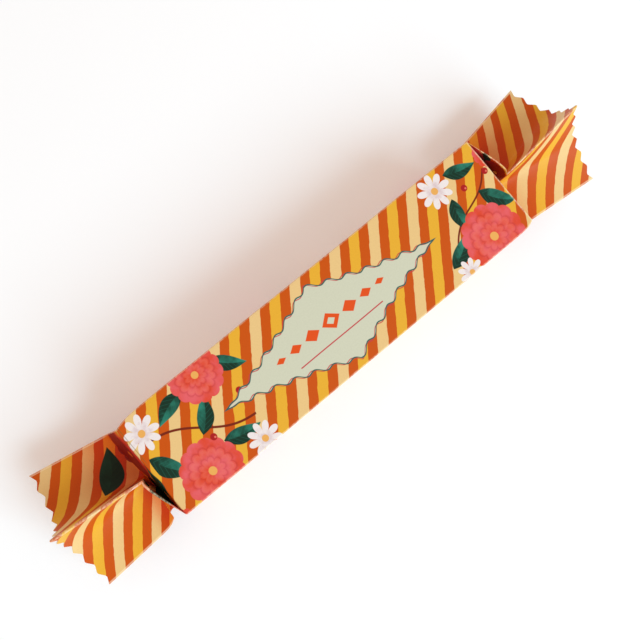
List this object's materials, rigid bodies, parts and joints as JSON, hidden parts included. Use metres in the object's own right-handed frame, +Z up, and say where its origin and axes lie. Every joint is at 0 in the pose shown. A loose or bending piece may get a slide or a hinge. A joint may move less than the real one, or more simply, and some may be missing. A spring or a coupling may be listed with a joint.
{
  "type": "cracker-shaped card sweet box",
  "caption": "Square printed card sleeve, twisted shut at both ends into folded necks that open out into flared tails with zig-zag rims.",
  "frame": {"origin": "centre of the sleeve's bottom face, on the plane the pack lies on", "axes": "+X along the pack, +Z up, out of the face that carries the blank label; +Y across the pack"},
  "size_m": [0.2623, 0.0552, 0.0426],
  "materials": {
    "printed_card": "satin"
  },
  "bodies": {
    "root": {"pack": "printed_card"}
  },
  "joints": []
}
